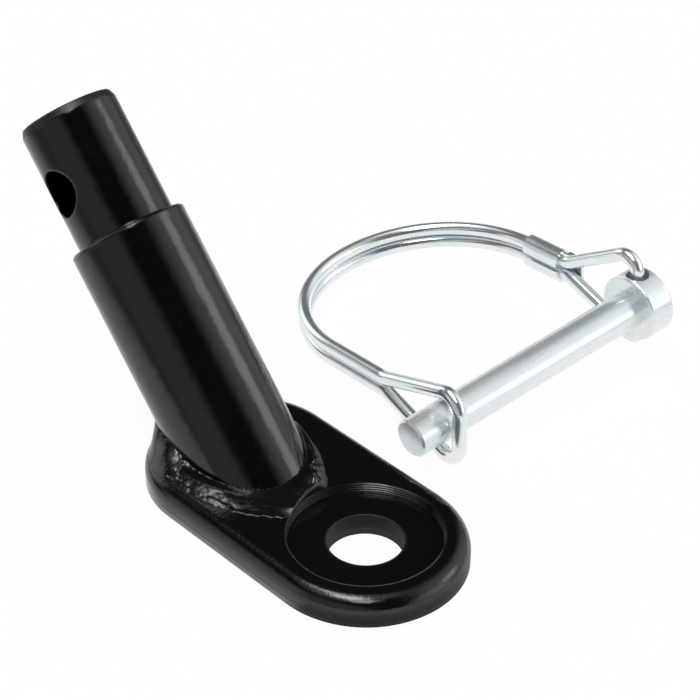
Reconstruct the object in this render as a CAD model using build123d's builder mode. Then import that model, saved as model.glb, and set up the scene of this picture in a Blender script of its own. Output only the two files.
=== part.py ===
import os
from math import cos, radians, tan

from build123d import *
from build123d.topology import SkipClean

os.makedirs("parts", exist_ok=True)

# Welded arm, mm and degrees. The plate lies on Z0 with the axle hole at the origin
plate_width = 31.0
end_margin = 0.68
plate_thick = 4.9
edge_roll = 2.4
edge_break = 0.4
axle_dia = 11.5
face_dia = 23.4
face_depth = 1.3
bar_dia = 19.05
spigot_dia = 15.9
lean = 42.5
post_foot = 29.0
shoulder_at = 37.1
post_length = 57.7
shoulder_break = 0.35
end_break = 1.2
end_taper = 0.5
cross_dia = 7.6
cross_drop = 11.4
bead_leg = 5.0
bead_rise = 1.5
bead_sink = 1.4
bead_slant = 4.7
bead_side = 1.9

# Lock pin and its doubled spring wire bail
pin_dia = 6.35
pin_reach = 48.3
pin_tip = 0.35
head_dia = 11.5
head_length = 4.8
head_round = 0.4
eye_dia = 3.9
wire_dia = 2.35
strand_gap = 0.1
wire_end = 1.2
near_radius = 22.6
far_radius = 20.9
leg_length = 25.6
eye_bend = 2.5
hook_bend = 2.0
eye_top = 10.0
eye_bottom = 8.1
fork_bend = 5.0
fork_gap = 1.3
fork_at_loop = 14.1
loop_reach = 4.8
loop_bend = 3.0
loop_top = 6.95
loop_bottom = 6.1
loop_lean = 0.7
loop_set = 1.2
sleeve_thick = 0.55
sleeve_play = 0.05
sleeve_length = 8.0
sleeve_tab = 3.1
tab_width = 4.2
sleeve_seam = 0.9
pin_place = (8.76, -70.21, 9.62)
pin_yaw = -2.46
pin_pitch = 4.22
pin_roll = 4.4

# Sizes that follow: the post's mitred foot, the plate that reaches past it, the strands' fork before the
# sleeve, and the bail's arch of two quarter turns that meet at its apex
foot_x = bar_dia / 2 / cos(radians(lean))
foot_y = bar_dia / 2
end_spacing = post_foot + foot_x + end_margin - plate_width / 2
cross_at = post_length - cross_drop
sleeve_at = leg_length - sleeve_length
fork_at_eye = sleeve_at - fork_gap
apex = leg_length + near_radius
far_leg = apex - far_radius
loop_at = near_radius + far_radius

# Planes worked on: the post axis, and the pin with its bail lying in the pin's own XY
post_plane = Plane(origin=(post_foot, 0, plate_thick), x_dir=(cos(radians(lean)), 0, -cos(radians(90 - lean))),
                   z_dir=(cos(radians(90 - lean)), 0, cos(radians(lean))))
pin_location = Location(pin_place) * Rotation(0, 0, pin_yaw) * Rotation(-pin_pitch, 0, 0) * Rotation(0, pin_roll, 0)
pin_plane = Plane(pin_location)

# Plate: flat bar with round ends, top edge rolled over, axle hole in a spot face
with BuildPart() as hitch_plate:
    with BuildSketch():
        with Locations((end_spacing / 2, 0)):
            SlotCenterToCenter(end_spacing, plate_width)
    extrude(amount=plate_thick)
    fillet(hitch_plate.faces().sort_by(Axis.Z)[-1].edges(), edge_roll)
    chamfer(hitch_plate.faces().sort_by(Axis.Z)[0].edges(), edge_break)
    with Locations((0, 0, plate_thick)):
        CounterBoreHole(axle_dia / 2, face_dia / 2, face_depth)
hitch_plate.part.label = "hitch_plate"

# Post: round bar mitred to the plate and turned down to a spigot. The spigot's wall stays as two faces that meet
# at the lock pin's cross hole, so that each face is a whole cylinder at its own middle
foot_depth = bar_dia * tan(radians(lean))
with BuildPart() as hitch_post:
    with BuildSketch(Plane(post_plane.origin, x_dir=post_plane.x_dir, z_dir=(0, -1, 0))):
        with BuildLine():
            Polyline((0, -foot_depth), (bar_dia / 2, -foot_depth), (bar_dia / 2, shoulder_at - shoulder_break),
                     (bar_dia / 2 - shoulder_break, shoulder_at), (spigot_dia / 2, shoulder_at),
                     (spigot_dia / 2, cross_at), (0, cross_at), close=True)
        make_face()
    revolve(axis=Axis(post_plane.origin, post_plane.z_dir))
    split(bisect_by=Plane.XY.offset(plate_thick), keep=Keep.TOP)
    with SkipClean():
        with BuildSketch(Plane(post_plane.origin, x_dir=post_plane.x_dir, z_dir=(0, -1, 0))):
            with BuildLine():
                Polyline((0, cross_at), (spigot_dia / 2, cross_at), (spigot_dia / 2, post_length - end_break),
                         (spigot_dia / 2 - end_taper, post_length), (0, post_length), close=True)
            make_face()
        revolve(axis=Axis(post_plane.origin, post_plane.z_dir), clean=False)
        with BuildSketch(Plane(post_plane.from_local_coords((0, bar_dia, cross_at)), z_dir=(0, -1, 0))):
            Circle(cross_dia / 2)
        extrude(amount=2 * bar_dia, clean=False, mode=Mode.SUBTRACT)
hitch_post.part.label = "hitch_post"

# Weld bead: a bulging fillet round the mitred foot, trimmed by the spot face
bead_rings = ((-bead_sink, 1.1, 0), (0.6 * bead_rise, 0.62, -0.5), (bead_rise, 0.12, 1))
with BuildPart() as weld_bead:
    for rise, leg, slant in bead_rings:
        along = post_foot + max(rise, 0) * tan(radians(lean)) - 0.25 * leg * bead_leg
        ring = Plane((along, bead_side * min(leg, 1), plate_thick + rise)).rotated((0, -bead_slant * slant, 0))
        with BuildSketch(ring):
            Ellipse(foot_x + bead_leg * leg, foot_y + (bead_leg - bead_side / 2) * leg)
    loft()
    with BuildSketch():
        with Locations((end_spacing / 2, 0)):
            SlotCenterToCenter(end_spacing, plate_width - 2 * edge_break)
    extrude(amount=2 * plate_thick, mode=Mode.INTERSECT)
    with BuildSketch(Plane.XY):
        Circle(face_dia / 2)
    extrude(amount=2 * plate_thick, mode=Mode.SUBTRACT)
    add(hitch_plate.part, mode=Mode.SUBTRACT)
    with BuildSketch(post_plane):
        Circle(bar_dia / 2)
    extrude(amount=shoulder_at, both=True, mode=Mode.SUBTRACT)
weld_bead.part.label = "weld_bead"

# Lock pin: turned head and shank in one, an eye bored across the head for the wire
with BuildPart() as lock_pin:
    with BuildSketch(Plane(pin_plane.origin, x_dir=pin_plane.y_dir, z_dir=pin_plane.x_dir)):
        with BuildLine():
            Polyline((-head_length / 2, 0), (-head_length / 2, head_dia / 2), (head_length / 2, head_dia / 2),
                     (head_length / 2, pin_dia / 2), (head_length / 2 + pin_reach - pin_tip, pin_dia / 2),
                     (head_length / 2 + pin_reach, pin_dia / 2 - pin_tip), (head_length / 2 + pin_reach, 0), close=True)
        make_face()
    revolve(axis=Axis(pin_plane.origin, pin_plane.y_dir))
    fillet(lock_pin.edges().filter_by(GeomType.CIRCLE).filter_by(lambda e: abs(e.radius - head_dia / 2) < 0.01), head_round)
    with Locations(pin_plane):
        Hole(eye_dia / 2)
lock_pin.part.label = "lock_pin"

# Bail: one spring wire, both ends in the eye, run double round the arch and looped over the pin's tip
strand = wire_dia / 2 + strand_gap / 2
turn = 1 - cos(radians(45))
with BuildPart() as wire_bail:
    with BuildLine(pin_plane) as wire_path:
        FilletPolyline((0, 0, wire_end), (0, 0, eye_top), (fork_at_eye, 0, strand), (leg_length, 0, strand),
                       radius=(eye_bend, fork_bend))
        ThreePointArc((leg_length, 0, strand), (apex - turn * near_radius, turn * near_radius, strand),
                      (apex, near_radius, strand))
        ThreePointArc((apex, near_radius, strand), (apex - turn * far_radius, loop_at - turn * far_radius, strand),
                      (far_leg, loop_at, strand))
        FilletPolyline((far_leg, loop_at, strand), (fork_at_loop, loop_at, strand),
                       (-loop_reach, loop_at + loop_set - loop_lean, loop_top),
                       (-loop_reach, loop_at + loop_set + loop_lean, -loop_bottom),
                       (fork_at_loop, loop_at, -strand), (far_leg, loop_at, -strand),
                       radius=(fork_bend, loop_bend, loop_bend, fork_bend))
        ThreePointArc((far_leg, loop_at, -strand), (apex - turn * far_radius, loop_at - turn * far_radius, -strand),
                      (apex, near_radius, -strand))
        ThreePointArc((apex, near_radius, -strand), (apex - turn * near_radius, turn * near_radius, -strand),
                      (leg_length, 0, -strand))
        FilletPolyline((leg_length, 0, -strand), (fork_at_eye, 0, -strand), (0, 0, -eye_bottom), (0, 0, -wire_end),
                       radius=(fork_bend, hook_bend))
    with BuildSketch(Plane(pin_plane.from_local_coords((0, 0, wire_end)), z_dir=pin_plane.z_dir)):
        Circle(wire_dia / 2)
    sweep(path=wire_path.line)
wire_bail.part.label = "wire_bail"

# Sleeve: sheet steel crimped round both strands, open along the inside of the arch, its back left longer
sleeve_in = wire_dia / 2 + sleeve_play
sleeve_out = sleeve_in + sleeve_thick
sleeve_plane = Plane(pin_plane.from_local_coords((sleeve_at, 0, 0)), x_dir=pin_plane.y_dir, z_dir=pin_plane.x_dir)
with BuildPart() as bail_sleeve:
    with BuildSketch(sleeve_plane):
        SlotCenterToCenter(2 * strand, 2 * sleeve_out, rotation=90)
        SlotCenterToCenter(2 * strand, 2 * sleeve_in, rotation=90, mode=Mode.SUBTRACT)
        with Locations((sleeve_out, 0)):
            Rectangle(2 * sleeve_out, sleeve_seam, mode=Mode.SUBTRACT)
    extrude(amount=sleeve_length)
    with BuildSketch(sleeve_plane):
        with Locations((-(sleeve_in + sleeve_out) / 2, 0)):
            Rectangle(sleeve_thick, tab_width)
    extrude(amount=-sleeve_tab)
bail_sleeve.part.label = "bail_sleeve"

export_step(hitch_plate.part, "parts/hitch_plate.step")
export_step(hitch_post.part, "parts/hitch_post.step")
export_step(weld_bead.part, "parts/weld_bead.step")
export_step(lock_pin.part, "parts/lock_pin.step")
export_step(wire_bail.part, "parts/wire_bail.step")
export_step(bail_sleeve.part, "parts/bail_sleeve.step")
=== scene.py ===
import bpy
import numpy as np
from mathutils import Matrix, Vector


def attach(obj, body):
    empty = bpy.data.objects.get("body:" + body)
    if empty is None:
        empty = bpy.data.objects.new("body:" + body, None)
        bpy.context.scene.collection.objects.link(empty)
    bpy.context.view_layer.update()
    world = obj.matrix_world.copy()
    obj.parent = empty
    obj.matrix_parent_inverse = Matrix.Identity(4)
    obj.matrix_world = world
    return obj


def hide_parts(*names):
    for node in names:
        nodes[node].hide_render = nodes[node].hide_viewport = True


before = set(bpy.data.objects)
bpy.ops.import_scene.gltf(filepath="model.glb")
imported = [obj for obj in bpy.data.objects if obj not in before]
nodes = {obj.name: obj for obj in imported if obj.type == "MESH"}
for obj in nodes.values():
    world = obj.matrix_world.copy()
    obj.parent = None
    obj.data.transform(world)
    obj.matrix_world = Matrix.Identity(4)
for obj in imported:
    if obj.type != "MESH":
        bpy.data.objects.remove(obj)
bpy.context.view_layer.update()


# Axle plate. A flat steel bar with round ends, its top edge rolled over, and a round recess turned for the axle nut.
# The cutter's grooves show on the recess wall, and the lower edge is rolled under a little.
# It is shot with gloss black powder coat, which flows into a fine orange peel and catches a little dust.
def node_tree(owner):
    """A material, world or group with its nodes cleared: returns the nodes and a link(from, to) function."""
    tree = owner if isinstance(owner, bpy.types.NodeTree) else owner.node_tree
    tree.nodes.clear()
    return tree.nodes, lambda a, b: tree.links.new(a, b)


def ramp(nodes_in, low, high, to_low, to_high):
    """A smooth step of one value: from low..high to to_low..to_high."""
    node = nodes_in.new("ShaderNodeMapRange")
    node.interpolation_type = "SMOOTHSTEP"
    for name, value in (("From Min", low), ("From Max", high), ("To Min", to_low), ("To Max", to_high)):
        node.inputs[name].default_value = value
    return node


def noise(nodes_in, scale, detail=2.0, rough=0.5):
    """Noise texture of so many features a metre."""
    node = nodes_in.new("ShaderNodeTexNoise")
    node.inputs["Scale"].default_value = scale
    node.inputs["Detail"].default_value = detail
    node.inputs["Roughness"].default_value = rough
    return node


def math_node(nodes_in, operation, *values):
    """Math node with its plain number inputs set; None leaves a socket free for a link."""
    node = nodes_in.new("ShaderNodeMath")
    node.operation = operation
    for socket, value in zip(node.inputs, values):
        if value is not None:
            socket.default_value = value
    return node


coat_skin = bpy.data.node_groups.new("coat_skin", "ShaderNodeTree")
for name, kind in (("Vector", "NodeSocketVector"), ("Peel Scale", "NodeSocketFloat"), ("Peel", "NodeSocketFloat"),
                   ("Nibs", "NodeSocketFloat")):
    coat_skin.interface.new_socket(name, in_out="INPUT", socket_type=kind)
for name in ("Height", "Gloss", "Dust"):
    coat_skin.interface.new_socket(name, in_out="OUTPUT", socket_type="NodeSocketFloat")
group, link = node_tree(coat_skin)
given = group.new("NodeGroupInput")
taken = group.new("NodeGroupOutput")
peel = noise(group, 1.0, 2.5, 0.45)
link(given.outputs["Vector"], peel.inputs["Vector"])
link(given.outputs["Peel Scale"], peel.inputs["Scale"])
peel_height = math_node(group, "MULTIPLY")
link(peel.outputs["Fac"], peel_height.inputs[0])
link(given.outputs["Peel"], peel_height.inputs[1])
nib_scale, nib_share = 1100, 0.14
nib_cells = group.new("ShaderNodeTexVoronoi")
nib_cells.inputs["Scale"].default_value = nib_scale
link(given.outputs["Vector"], nib_cells.inputs["Vector"])
nib_dot = ramp(group, 0.10, 0.26, 1.0, 0.0)
link(nib_cells.outputs["Distance"], nib_dot.inputs["Value"])
nib_pick = group.new("ShaderNodeSeparateColor")
link(nib_cells.outputs["Color"], nib_pick.inputs[0])
nib_some = math_node(group, "GREATER_THAN", None, 1 - nib_share)
link(nib_pick.outputs[0], nib_some.inputs[0])
nib_mask = math_node(group, "MULTIPLY")
link(nib_dot.outputs[0], nib_mask.inputs[0])
link(nib_some.outputs[0], nib_mask.inputs[1])
nib_height = math_node(group, "MULTIPLY_ADD")
link(nib_mask.outputs[0], nib_height.inputs[0])
link(given.outputs["Nibs"], nib_height.inputs[1])
link(peel_height.outputs[0], nib_height.inputs[2])
link(nib_height.outputs[0], taken.inputs["Height"])
haze = noise(group, 160, 3.0, 0.6)
link(given.outputs["Vector"], haze.inputs["Vector"])
haze_gloss = ramp(group, 0.3, 0.7, 0.0, 1.0)
link(haze.outputs["Fac"], haze_gloss.inputs["Value"])
link(haze_gloss.outputs[0], taken.inputs["Gloss"])
link(nib_mask.outputs[0], taken.inputs["Dust"])


def black_coat(name, tone_color, peel_scale, peel, nibs, low_rough, high_rough, edge_flow):
    """Gloss black powder coat: orange peel and nibs as bump, a gloss that drifts, and edges that it flows round."""
    material = bpy.data.materials.new(name)
    material.use_nodes = True
    made, join = node_tree(material)
    out = made.new("ShaderNodeOutputMaterial")
    paint = made.new("ShaderNodeBsdfPrincipled")
    paint.name = "coat_paint"
    join(paint.outputs[0], out.inputs["Surface"])
    paint.inputs["IOR"].default_value = 1.52
    place = made.new("ShaderNodeTexCoord")
    skin = made.new("ShaderNodeGroup")
    skin.node_tree = coat_skin
    join(place.outputs["Object"], skin.inputs["Vector"])
    skin.inputs["Peel Scale"].default_value = peel_scale
    skin.inputs["Peel"].default_value = peel
    skin.inputs["Nibs"].default_value = nibs
    tone = made.new("ShaderNodeMix")
    tone.data_type = "RGBA"
    tone.inputs["A"].default_value = (*tone_color, 1)
    tone.inputs["B"].default_value = (0.008, 0.008, 0.009, 1)
    join(skin.outputs["Dust"], tone.inputs["Factor"])
    join(tone.outputs["Result"], paint.inputs["Base Color"])
    rough = ramp(made, 0.0, 1.0, low_rough, high_rough)
    join(skin.outputs["Gloss"], rough.inputs["Value"])
    join(rough.outputs[0], paint.inputs["Roughness"])
    edge = made.new("ShaderNodeBevel")
    edge.samples = 6
    edge.inputs["Radius"].default_value = edge_flow
    bump = made.new("ShaderNodeBump")
    bump.name = "coat_bump"
    bump.inputs["Strength"].default_value = 1.0
    bump.inputs["Distance"].default_value = 0.001
    join(skin.outputs["Height"], bump.inputs["Height"])
    join(edge.outputs[0], bump.inputs["Normal"])
    join(bump.outputs[0], paint.inputs["Normal"])
    return material


def duller(nodes_in, join_in, least):
    """Raises the roughness of a coat to at least the value of a socket."""
    rough = nodes_in["coat_paint"].inputs["Roughness"]
    node = math_node(nodes_in, "MAXIMUM")
    join_in(rough.links[0].from_socket, node.inputs[0])
    join_in(least, node.inputs[1])
    join_in(node.outputs[0], rough)


plate_coat = black_coat("plate_coat", tone_color=(0.0036, 0.0036, 0.004), peel_scale=1900, peel=0.03, nibs=0.008,
                        low_rough=0.10, high_rough=0.16, edge_flow=0.0004)
made, join = plate_coat.node_tree.nodes, plate_coat.node_tree.links.new

# Grooves that the cutter left on the recess wall, as waves up the wall between two radii
recess_groove, groove_depth = 0.00042, 0.17
recess_place = made.new("ShaderNodeTexCoord")
recess_axes = made.new("ShaderNodeSeparateXYZ")
join(recess_place.outputs["Object"], recess_axes.inputs[0])
recess_flat = made.new("ShaderNodeMapping")
recess_flat.inputs["Scale"].default_value = (1, 1, 0)
join(recess_place.outputs["Object"], recess_flat.inputs["Vector"])
recess_radius = made.new("ShaderNodeVectorMath")
recess_radius.operation = "LENGTH"
join(recess_flat.outputs[0], recess_radius.inputs[0])
recess_inner = ramp(made, 0.0113, 0.0115, 0.0, 1.0)
join(recess_radius.outputs["Value"], recess_inner.inputs["Value"])
recess_outer = ramp(made, 0.01175, 0.0119, groove_depth, 0.0)
join(recess_radius.outputs["Value"], recess_outer.inputs["Value"])
recess_band = math_node(made, "MULTIPLY")
join(recess_inner.outputs[0], recess_band.inputs[0])
join(recess_outer.outputs[0], recess_band.inputs[1])
recess_step = math_node(made, "MULTIPLY", None, 2 * np.pi / recess_groove)
join(recess_axes.outputs["Z"], recess_step.inputs[0])
recess_wave = math_node(made, "SINE")
join(recess_step.outputs[0], recess_wave.inputs[0])
recess_height = math_node(made, "MULTIPLY_ADD")
join(recess_wave.outputs[0], recess_height.inputs[0])
join(recess_band.outputs[0], recess_height.inputs[1])
coat_height = made["coat_bump"].inputs["Height"]
join(coat_height.links[0].from_socket, recess_height.inputs[2])

# Lower edge rolled under, as a height that drops with the square of the way down to the foot
foot_from, foot_drop = 0.0014, -0.7
foot_share = ramp(made, foot_from, 0.0, 0.0, 1.0)
foot_share.interpolation_type = "LINEAR"
join(recess_axes.outputs["Z"], foot_share.inputs["Value"])
foot_roll = math_node(made, "POWER", None, 2.0)
join(foot_share.outputs[0], foot_roll.inputs[0])
foot_height = math_node(made, "MULTIPLY_ADD", None, foot_drop)
join(foot_roll.outputs[0], foot_height.inputs[0])
join(recess_height.outputs[0], foot_height.inputs[2])
join(foot_height.outputs[0], coat_height)

# Coat thin and dull in the axle hole
bore_rough = 0.5
bore_dull = ramp(made, 0.0059, 0.0062, bore_rough, 0.0)
join(recess_radius.outputs["Value"], bore_dull.inputs["Value"])
duller(made, join, bore_dull.outputs[0])
nodes["hitch_plate"].data.materials[0] = plate_coat


# Post. Solid round steel bar, turned down to a spigot above a square shoulder and drilled across for the lock pin.
# It wears the same coat as the plate, a little smoother on the turned bar and dull on the break round its end.
def along(nodes_in, join_in, place, direction):
    """How far a point lies along a direction: the dot product of its coordinates with that direction."""
    node = nodes_in.new("ShaderNodeVectorMath")
    node.operation = "DOT_PRODUCT"
    node.inputs[1].default_value = direction
    join_in(place, node.inputs[0])
    return node.outputs["Value"]


post_coat = black_coat("post_coat", tone_color=(0.0022, 0.0022, 0.0025), peel_scale=420, peel=0.06, nibs=0.004,
                       low_rough=0.10, high_rough=0.15, edge_flow=0.0006)
made, join = post_coat.node_tree.nodes, post_coat.node_tree.links.new
post_axis = (0.67559, 0.0, 0.73728)
break_from, post_end, break_rough = 0.0796, 0.0809, 0.42
post_place = made.new("ShaderNodeTexCoord")
post_along = along(made, join, post_place.outputs["Object"], post_axis)
end_dull = ramp(made, break_from, break_from + 0.0002, 0.0, break_rough)
join(post_along, end_dull.inputs["Value"])
end_face = ramp(made, post_end - 0.0001, post_end, break_rough, 0.0)
join(post_along, end_face.inputs["Value"])
end_band = math_node(made, "MINIMUM")
join(end_dull.outputs[0], end_band.inputs[0])
join(end_face.outputs[0], end_band.inputs[1])
duller(made, join, end_band.outputs[0])
nodes["hitch_post"].data.materials[0] = post_coat


# Weld bead. Fillet weld laid by hand round the post's foot, with a broad stop at the left and cold lumps at the
# right. The recess was cut after welding, so its cutter took a bite out of the bead's toe. Coated with the rest.
bar_dia, post_lean, post_foot = 19.05, np.radians(42.5), 29.0
plate_top, edge_roll, flat_half, end_spacing, recess_reach = 4.9, 2.4, 13.1, 27.1, 11.7
weld_turn = np.radians(np.arange(-180, 180, 0.5))
weld_ray = np.stack([np.cos(weld_turn), np.sin(weld_turn)])
weld_wall = 1 / np.hypot(weld_ray[0] * 2 / bar_dia * np.cos(post_lean), weld_ray[1] * 2 / bar_dia)


def round_foot(*points):
    """Values given at angles round the foot, joined by straight runs and evened out by a bell-shaped mean."""
    angle, value = np.array(points).T
    raw = np.interp(np.degrees(weld_turn), angle, value, period=360)
    reach = 24
    weights = np.exp(-0.5 * (np.arange(-reach, reach + 1) / 7) ** 2)
    return np.convolve(np.pad(raw, reach, mode="wrap"), weights / weights.sum(), "valid")[:, None]


def ease(value, low, high):
    """Smooth step from 0 at low to 1 at high."""
    share = np.clip((value - low) / (high - low), 0, 1)
    return share * share * (3 - 2 * share)


def lumps(s, t, seed, cells=96, rows=96):
    """Random heights from -1 to 1 on a unit lattice that repeats, blended by each cell's eased shares."""
    lattice = np.random.default_rng(seed).uniform(-1, 1, (cells, rows))
    i, j = np.floor(s).astype(int), np.floor(t).astype(int)
    right, up = ease(s - i, 0, 1), ease(t - j, 0, 1)
    i, j, i_next, j_next = i % cells, j % rows, (i + 1) % cells, (j + 1) % rows
    low = lattice[i, j] * (1 - right) + lattice[i_next, j] * right
    high = lattice[i, j_next] * (1 - right) + lattice[i_next, j_next] * right
    return low * (1 - up) + high * up


def plate_skin(x, y):
    """Height of the plate's top: flat, then a quarter round down its rolled edge."""
    inset = np.clip(np.hypot(x - np.clip(x, 0, end_spacing), y) - flat_half, 0, edge_roll - 0.01)
    return plate_top - edge_roll + np.sqrt(edge_roll ** 2 - inset ** 2)


def bell(x, y, at_x, at_y, size_x, size_y):
    """A round or oval bump of height 1: the bell curve of the distance from its middle, measured in its sizes."""
    return np.exp(-((x - at_x) / size_x) ** 2 - ((y - at_y) / size_y) ** 2)


def weld_skin(columns):
    """Bead from the post's wall to its toe, in metres: a slope down from the crown, plus a hump that eases up to its
    peak and falls in a straight flank, plus a lip at the toe. Lumps that run with the bead, a raised arc where it
    stopped, pits and cold drops are added, and the foot of the surface is tucked into the post and the plate."""
    turn = weld_turn[:, None]
    wall, ray_x, ray_y = weld_wall[:, None], weld_ray[0][:, None], weld_ray[1][:, None]

    # Sizes of the bead in mm, or shares of its width, at angles round the foot
    toe = round_foot((-171, 5.3), (-167, 4.1), (-158, 2.8), (-150, 2.1), (-141, 1.7), (-127, 1.15), (-110, 0.8),
                     (-70, 1.2), (-30, 0.9), (0, 0.4), (25, 1.2), (46, 2.9), (60, 3.8), (72, 4.2), (84, 4.4),
                     (98, 4.1), (110, 4.5), (121, 4.8), (130, 5.1), (137, 5.5), (148, 6.0), (155, 6.5), (161, 7.2),
                     (170, 7.6), (180, 7.0))
    crown = round_foot((-157, 0.6), (-146, 1.1), (-136, 1.65), (-123, 1.85), (-60, 2.0), (0, 2.2), (46, 2.9),
                       (72, 2.4), (82, 2.1), (89, 1.6), (96, 1.15), (104, 0.85), (115, 0.65), (125, 0.5), (140, 0.25),
                       (164, 0.2), (180, 0.5))
    bow = round_foot((-170, 0.8), (0, 1.0), (60, 1.0), (86, 0.95), (95, 0.9), (125, 0.85), (160, 0.8))
    chord = round_foot((0, 0), (30, 1), (84, 1), (98, 0), (180, 0))
    ridge = round_foot((-173, 1.45), (-167, 1.0), (-158, 0.75), (-150, 0.6), (-141, 0.45), (-127, 0.3), (-110, 0.2),
                       (0, 0.15), (46, 0.1), (65, 0.1), (80, 0.1), (90, 0.16), (98, 0.34), (105, 0.48), (115, 0.62),
                       (125, 0.72), (132, 0.66), (141, 0.46), (149, 0.42), (156, 0.26), (164, 0.26), (170, 0.6),
                       (176, 1.25), (180, 1.5))
    peak = round_foot((-165, 0.45), (40, 0.5), (85, 0.6), (95, 0.5), (105, 0.45), (130, 0.45), (142, 0.5), (152, 0.5),
                      (158, 0.6), (164, 0.8), (172, 0.8), (180, 0.66), (-172, 0.6))
    hump_end = round_foot((-170, 1.0), (0, 1.0), (130, 1.0), (142, 0.84), (156, 0.84), (164, 1.0))
    lip = round_foot((-180, 0.15), (-160, 0.2), (-140, 0.15), (0, 0.1), (60, 0.06), (120, 0.06), (132, 0.03),
                     (160, 0.03))
    mottle = round_foot((-178, 0.4), (-165, 0.8), (-150, 0.4), (-120, 0.2), (0, 0.2), (60, 0.1), (84, 0.15), (98, 1),
                        (134, 1), (145, 0.35), (165, 0.25))

    # Grid from inside the post's wall to the ragged toe, or to the recess where that comes first
    ragged_cells, inside = 192, 0.5
    ragged = 0.16 * ease(toe, 1.0, 4.0) * lumps(ragged_cells / 2 * turn / np.pi, 0 * turn, 8, ragged_cells)
    bite = post_foot ** 2 * ray_x ** 2 - post_foot ** 2 + recess_reach ** 2
    bitten = np.where((bite > 0) & (ray_x < 0), -post_foot * ray_x - np.sqrt(np.clip(bite, 0, None)), 1e3)
    out = -inside + (np.minimum(wall + toe + ragged, bitten) - wall + inside) * np.linspace(0, 1, columns)
    free = np.clip(out / toe, 0, 1)
    x = post_foot + (wall + out) * ray_x + crown * np.tan(post_lean) * (1 - free) ** 1.2
    y = (wall + out) * ray_y

    # Slope, hump and lip
    over = np.clip(free / hump_end, 0, 1)
    peak_round = 0.11
    flank = 1 + peak_round - np.hypot((over - peak) / (1 - peak), peak_round)
    hump = np.where(over < peak, ease(over, 0, peak), flank)
    rise = crown * (1 - free ** bow) + ridge * hump + lip * ease(free, 0.2, 0.6) * (1 - ease(free, 0.965, 1.0))

    # Flow lines and lumps
    streak_cells = 64
    body = ease(free, 0.05, 0.3) * (1 - 0.6 * ease(free, 0.92, 1.0))
    warp = lumps(x / 1.3, y / 1.3, 6)
    streak_turn = streak_cells / 2 * turn / np.pi
    streaks = lumps(streak_turn + 0.7 * warp, out / 0.6 + 1.2 * warp + 0.5 * x, 3, streak_cells)
    fine = mottle * (0.04 * streaks + 0.018 * lumps(x / 0.5, y / 0.5, 4))
    rise += body * (fine + 0.05 * lumps(x / 2.8, y / 2.8, 5))
    rise += 0.09 * (1 - ease(free, 0.0, 0.1)) * lumps(x / 0.4, y / 0.4, 7)

    # Arc where the bead stopped, two pits at the left, a cold drop and a ring at the right
    pits_and_drop = ((-0.25, 29.3, 13.0, 0.6, 0.2), (-0.2, 27.8, 12.5, 0.4, 0.2), (0.55, 13.0, -1.6, 0.8, 0.8))
    ring_x, ring_y, ring_radius = 15.9, -4.4, 0.8
    stop_x, stop_y, stop_radius = 31.9, 11.3, 2.1
    stop = np.hypot(x - stop_x, y - stop_y)
    stop_side = ((stop_x - x) * 2.0 + (stop_y - y) * 0.6) / (2.09 * np.maximum(stop, 0.01))
    rise += 0.16 * np.exp(-((stop - stop_radius) / 0.3) ** 2) * ease(stop_side, 0.7, 1.0)
    for height, *oval in pits_and_drop:
        rise += height * bell(x, y, *oval)
    rise += 0.24 * np.exp(-((np.hypot(x - ring_x, y - ring_y) - ring_radius) / 0.3) ** 2)

    # Laid on the plate, with a straight chord where the toe runs over the rolled edge
    least_rise, sunk_in, sunk_out = 0.02, 0.6, 0.35
    skin = plate_skin(x, y)
    toe_skin = plate_skin(post_foot + (wall + toe) * ray_x, (wall + toe) * ray_y)
    base = skin + chord * (plate_top + (toe_skin - plate_top) * free - skin)
    z = np.maximum(base + rise, skin + least_rise)
    foot_in = np.stack([x[:, :1], y[:, :1], np.full_like(x[:, :1], plate_top - sunk_in)], -1)
    foot_out = np.stack([x[:, -1:], y[:, -1:], skin[:, -1:] - sunk_out], -1)
    return np.concatenate([foot_in, np.stack([x, y, z], -1), foot_out], 1) / 1000


weld_points = weld_skin(60)


def ring_faces(rows, columns):
    """Quads of a grid that closes on itself both along its rows and along its columns."""
    i, j = np.meshgrid(np.arange(rows), np.arange(columns), indexing="ij")
    i_next, j_next = (i + 1) % rows, (j + 1) % columns
    corners = (i * columns + j, i * columns + j_next, i_next * columns + j_next, i_next * columns + j)
    return np.stack(corners, -1).reshape(-1, 4)


weld_mesh = bpy.data.meshes.new("weld_run")
weld_mesh.from_pydata(weld_points.reshape(-1, 3).tolist(), [], ring_faces(*weld_points.shape[:2]).tolist())
weld_mesh.polygons.foreach_set("use_smooth", np.ones(len(weld_mesh.polygons), bool))
weld_mesh.update()
weld_run = bpy.data.objects.new("weld_run", weld_mesh)
bpy.context.scene.collection.objects.link(weld_run)
weld_coat = black_coat("weld_coat", tone_color=(0.0055, 0.0054, 0.006), peel_scale=1100, peel=0.04, nibs=0.02,
                       low_rough=0.09, high_rough=0.15, edge_flow=0.0002)
weld_mesh.materials.append(weld_coat)
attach(weld_run, "hitch")
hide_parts("weld_bead")


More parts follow.
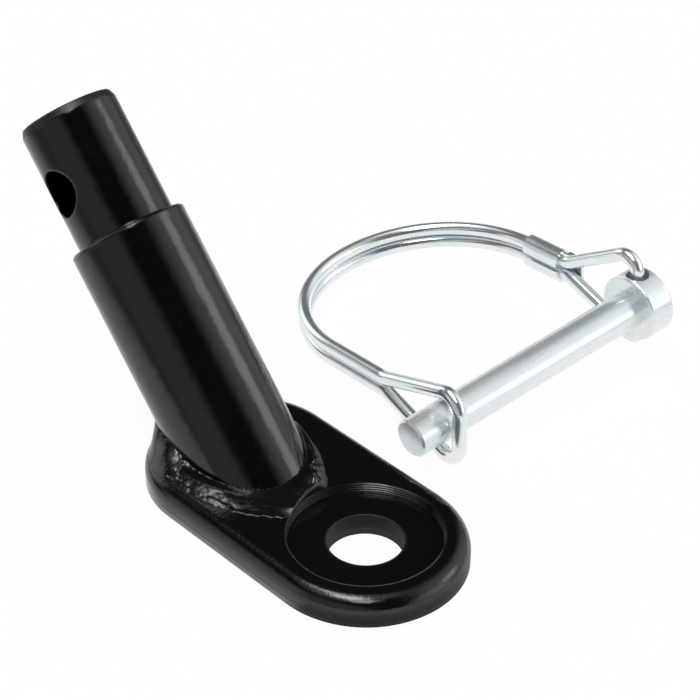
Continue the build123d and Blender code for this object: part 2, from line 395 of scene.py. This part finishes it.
# Lock pin. Turned from steel rod with a collar for a head and a chamfered tip, then barrel plated in bright zinc,
# which leaves it pale with a cool cast and faint marks drawn out along it.
zinc_skin = bpy.data.node_groups.new("zinc_skin", "ShaderNodeTree")
zinc_skin.interface.new_socket("Vector", in_out="INPUT", socket_type="NodeSocketVector")
zinc_skin.interface.new_socket("Tint", in_out="OUTPUT", socket_type="NodeSocketColor")
zinc_skin.interface.new_socket("Dull", in_out="OUTPUT", socket_type="NodeSocketFloat")
zinc_skin.interface.new_socket("Grain", in_out="OUTPUT", socket_type="NodeSocketFloat")
group, link = node_tree(zinc_skin)
given = group.new("NodeGroupInput")
taken = group.new("NodeGroupOutput")
cool_cast, plain_cast = (0.78, 0.86, 0.89, 1), (0.88, 0.895, 0.90, 1)
cast = noise(group, 120, 2.0, 0.5)
link(given.outputs["Vector"], cast.inputs["Vector"])
cast_mix = ramp(group, 0.35, 0.65, 0.0, 1.0)
link(cast.outputs["Fac"], cast_mix.inputs["Value"])
cast_color = group.new("ShaderNodeMix")
cast_color.data_type = "RGBA"
cast_color.inputs["A"].default_value = cool_cast
cast_color.inputs["B"].default_value = plain_cast
link(cast_mix.outputs[0], cast_color.inputs["Factor"])
link(cast_color.outputs["Result"], taken.inputs["Tint"])
blotch = noise(group, 420, 3.0, 0.6)
link(given.outputs["Vector"], blotch.inputs["Vector"])
blotch_dull = ramp(group, 0.35, 0.7, 0.0, 1.0)
link(blotch.outputs["Fac"], blotch_dull.inputs["Value"])
link(blotch_dull.outputs[0], taken.inputs["Dull"])
crystal = noise(group, 2600, 2.0, 0.55)
link(given.outputs["Vector"], crystal.inputs["Vector"])
link(crystal.outputs["Fac"], taken.inputs["Grain"])


def bright_zinc(name, metallic, low_rough, high_rough, grain):
    """Bright zinc plating: cool cast that drifts, dull blotches and a fine grain."""
    material = bpy.data.materials.new(name)
    material.use_nodes = True
    made, join = node_tree(material)
    out = made.new("ShaderNodeOutputMaterial")
    metal = made.new("ShaderNodeBsdfPrincipled")
    metal.inputs["Metallic"].default_value = metallic
    join(metal.outputs[0], out.inputs["Surface"])
    place = made.new("ShaderNodeTexCoord")
    lay = made.new("ShaderNodeMapping")
    lay.name = "zinc_lay"
    join(place.outputs["Object"], lay.inputs["Vector"])
    skin = made.new("ShaderNodeGroup")
    skin.node_tree = zinc_skin
    join(lay.outputs[0], skin.inputs["Vector"])
    join(skin.outputs["Tint"], metal.inputs["Base Color"])
    rough = ramp(made, 0.0, 1.0, low_rough, high_rough)
    join(skin.outputs["Dull"], rough.inputs["Value"])
    join(rough.outputs[0], metal.inputs["Roughness"])
    bump = made.new("ShaderNodeBump")
    bump.inputs["Strength"].default_value = 1.0
    bump.inputs["Distance"].default_value = grain
    join(skin.outputs["Grain"], bump.inputs["Height"])
    join(bump.outputs[0], metal.inputs["Normal"])
    return material


pin_place, pin_turn, pin_drawn = (0.00876, -0.07021, 0.00962), (-4.22, 4.4, -2.46), 9
pin_zinc = bright_zinc("pin_zinc", metallic=0.64, low_rough=0.2, high_rough=0.3, grain=0.000005)
pin_lay = pin_zinc.node_tree.nodes["zinc_lay"]
pin_lay.vector_type = "TEXTURE"
pin_lay.inputs["Location"].default_value = pin_place
pin_lay.inputs["Rotation"].default_value = np.radians(pin_turn)
pin_lay.inputs["Scale"].default_value = (1, pin_drawn, 1)
nodes["lock_pin"].data.materials[0] = pin_zinc


# Wire bail. One length of spring wire bent double into a D, its ends sprung into the head's eye from both sides.
# The wire is drawn bright and zinc plated, glossier than the pin.
wire_zinc = bright_zinc("wire_zinc", metallic=0.82, low_rough=0.12, high_rough=0.18, grain=0.000004)
wire_zinc.node_tree.nodes["zinc_lay"].inputs["Location"].default_value = (0.005, 0.003, 0.0)
nodes["wire_bail"].data.materials[0] = wire_zinc


# Sleeve. A strip of plated sheet rolled and crimped round both strands, with a seam along the inside of the arch
# and its back left longer as a tab.
sleeve_zinc = bright_zinc("sleeve_zinc", metallic=0.80, low_rough=0.16, high_rough=0.22, grain=0.000006)
nodes["bail_sleeve"].data.materials[0] = sleeve_zinc


# Floor. White sweep under the product, plain white to the eye. Polished pieces see it white too, with painted fall-off
# of light far off and painted shade near the plate on the near side. The product's real soft shadow falls on its matt
# part.
floor_reach, floor_level, floor_sides = 3.0, -0.00002, 96
floor_mesh = bpy.data.meshes.new("white_floor")
floor_ring = np.linspace(0, 2 * np.pi, floor_sides, endpoint=False)
floor_points = np.stack([floor_reach * np.cos(floor_ring), floor_reach * np.sin(floor_ring),
                         np.full(floor_sides, floor_level)], -1)
floor_mesh.from_pydata(floor_points.tolist(), [], [list(range(floor_sides))])
white_floor = bpy.data.objects.new("white_floor", floor_mesh)
bpy.context.scene.collection.objects.link(white_floor)
floor_white = bpy.data.materials.new("floor_white")
floor_white.use_nodes = True
made, join = node_tree(floor_white)
floor_out = made.new("ShaderNodeOutputMaterial")
floor_matt = made.new("ShaderNodeBsdfDiffuse")
floor_matt.inputs["Color"].default_value = (0.82, 0.82, 0.82, 1)
floor_glow = made.new("ShaderNodeEmission")
floor_glow.inputs["Color"].default_value = (1, 1, 1, 1)
floor_place = made.new("ShaderNodeTexCoord")


def larger(first, second):
    """The larger of two values, as a socket of the tree in hand."""
    node = math_node(made, "MAXIMUM")
    join(first, node.inputs[0])
    join(second, node.inputs[1])
    return node.outputs[0]


# Painted fall-off of light away from the product, in an oval, in what polished pieces see
far_level = 0.3
floor_squeeze = made.new("ShaderNodeMapping")
floor_squeeze.inputs["Location"].default_value = (0.0, 0.02, 0.0)
floor_squeeze.inputs["Scale"].default_value = (0.45, 1, 1)
join(floor_place.outputs["Object"], floor_squeeze.inputs["Vector"])
floor_far = made.new("ShaderNodeVectorMath")
floor_far.operation = "LENGTH"
join(floor_squeeze.outputs[0], floor_far.inputs[0])
floor_painted_falloff = ramp(made, 0.07, 0.19, 1.0, far_level)
join(floor_far.outputs["Value"], floor_painted_falloff.inputs["Value"])

# Painted shade close to the plate's outline, but open to the light past its right side and its left side
shade_level, right_way, left_way = 0.26, (0.73, -0.68, 0.0), (0.8, 0.6, 0.0)
floor_axes = made.new("ShaderNodeSeparateXYZ")
join(floor_place.outputs["Object"], floor_axes.inputs[0])
floor_under = made.new("ShaderNodeClamp")
floor_under.inputs["Max"].default_value = end_spacing / 1000
join(floor_axes.outputs["X"], floor_under.inputs["Value"])
floor_past = math_node(made, "SUBTRACT")
join(floor_axes.outputs["X"], floor_past.inputs[0])
join(floor_under.outputs[0], floor_past.inputs[1])
floor_off = made.new("ShaderNodeCombineXYZ")
join(floor_past.outputs[0], floor_off.inputs["X"])
join(floor_axes.outputs["Y"], floor_off.inputs["Y"])
floor_near = made.new("ShaderNodeVectorMath")
floor_near.operation = "LENGTH"
join(floor_off.outputs[0], floor_near.inputs[0])
floor_painted_shade = ramp(made, 0.0145, 0.023, shade_level, 1.0)
join(floor_near.outputs["Value"], floor_painted_shade.inputs["Value"])
floor_right = ramp(made, -0.002, 0.010, 0.0, 1.0)
join(along(made, join, floor_place.outputs["Object"], right_way), floor_right.inputs["Value"])
floor_left = ramp(made, 0.0055, 0.0105, 0.0, 1.0)
join(along(made, join, floor_place.outputs["Object"], left_way), floor_left.inputs["Value"])
floor_painted_light = math_node(made, "MULTIPLY")
join(floor_painted_falloff.outputs[0], floor_painted_light.inputs[0])
join(larger(larger(floor_painted_shade.outputs[0], floor_right.outputs[0]), floor_left.outputs[0]), floor_painted_light.inputs[1])

# Glows white for the eye, and with painted fall-off and painted shade for polished pieces; a little matt floor takes
# the shadow
glow_share = 0.96
floor_path = made.new("ShaderNodeLightPath")
join(larger(floor_path.outputs["Is Camera Ray"], floor_painted_light.outputs[0]), floor_glow.inputs["Strength"])
floor_seen = larger(floor_path.outputs["Is Camera Ray"], floor_path.outputs["Is Glossy Ray"])
floor_share = math_node(made, "MULTIPLY", None, glow_share)
join(larger(floor_seen, floor_path.outputs["Is Transmission Ray"]), floor_share.inputs[0])
floor_mix = made.new("ShaderNodeMixShader")
join(floor_share.outputs[0], floor_mix.inputs[0])
join(floor_matt.outputs[0], floor_mix.inputs[1])
join(floor_glow.outputs[0], floor_mix.inputs[2])
join(floor_mix.outputs[0], floor_out.inputs["Surface"])
floor_mesh.materials.append(floor_white)


# Studio. A dim room with a strip of softboxes overhead and a panel to the right of the camera. Smaller boxes stand
# behind the product and low at the right, and a grey card leans at the left.
studio = bpy.data.worlds.new("studio")
bpy.context.scene.world = studio
studio.use_nodes = True
made, join = node_tree(studio)
studio_out = made.new("ShaderNodeOutputWorld")
studio_light = made.new("ShaderNodeBackground")
studio_light.inputs["Color"].default_value = (1, 1, 1, 1)
join(studio_light.outputs[0], studio_out.inputs["Surface"])
toward = made.new("ShaderNodeTexCoord")
room_level = 0.02
studio_sum = math_node(made, "ADD", room_level, 0.0)


def softbox(total, direction, inner, outer, strength):
    """Adds a round patch of light: full within inner degrees of a direction, gone at outer degrees."""
    facing = along(made, join, toward.outputs["Generated"], Vector(direction).normalized())
    patch = ramp(made, np.cos(np.radians(outer)), np.cos(np.radians(inner)), 0.0, strength)
    join(facing, patch.inputs["Value"])
    more = math_node(made, "ADD")
    join(total.outputs[0], more.inputs[0])
    join(patch.outputs[0], more.inputs[1])
    return more


overhead_strip = (((0.02, 0.18, 0.98), 6, 12, 11.0), ((0.24, 0.03, 0.97), 5, 12, 3.6), ((0.38, 0.0, 0.925), 4, 9, 2.4),
                  ((-0.3, 0.32, 0.9), 5, 13, 5.0), ((0.12, 0.14, 0.98), 12, 34, 0.9))
right_panel = (((-0.484, -0.755, 0.443), 5, 14, 2.1), ((-0.42, -0.80, 0.43), 12, 54, 0.92))
left_card = (((-0.1, 0.99, -0.25), 40, 62, 0.42),)
low_right = (((-0.9, -0.42, 0.12), 12, 30, 0.9),)
behind = (((0.93, 0.10, 0.36), 8, 28, 1.25), ((0.58, 0.78, 0.22), 6, 24, 0.45), ((0.80, -0.60, 0.0), 8, 22, 0.7))
for patch in overhead_strip + right_panel + left_card + low_right + behind:
    studio_sum = softbox(studio_sum, *patch)
join(studio_sum.outputs[0], studio_light.inputs["Strength"])


# Camera. Long lens from above the hole end, turned and framed as in the photograph.
focal_pixels, frame_pixels = 2140.8, 700
camera_data = bpy.data.cameras.new("camera")
camera_data.sensor_width = 36
camera_data.lens = camera_data.sensor_width * focal_pixels / frame_pixels
camera_data.clip_start = 0.01
camera = bpy.data.objects.new("camera", camera_data)
bpy.context.scene.collection.objects.link(camera)
camera.matrix_world = Matrix(((-0.67988, 0.41979, -0.60128, -0.17553), (-0.73331, -0.38443, 0.56078, 0.16702),
                              (0.00426, 0.82218, 0.56921, 0.20517), (0, 0, 0, 1)))
bpy.context.scene.camera = camera
bpy.context.scene.view_settings.view_transform = "Standard"
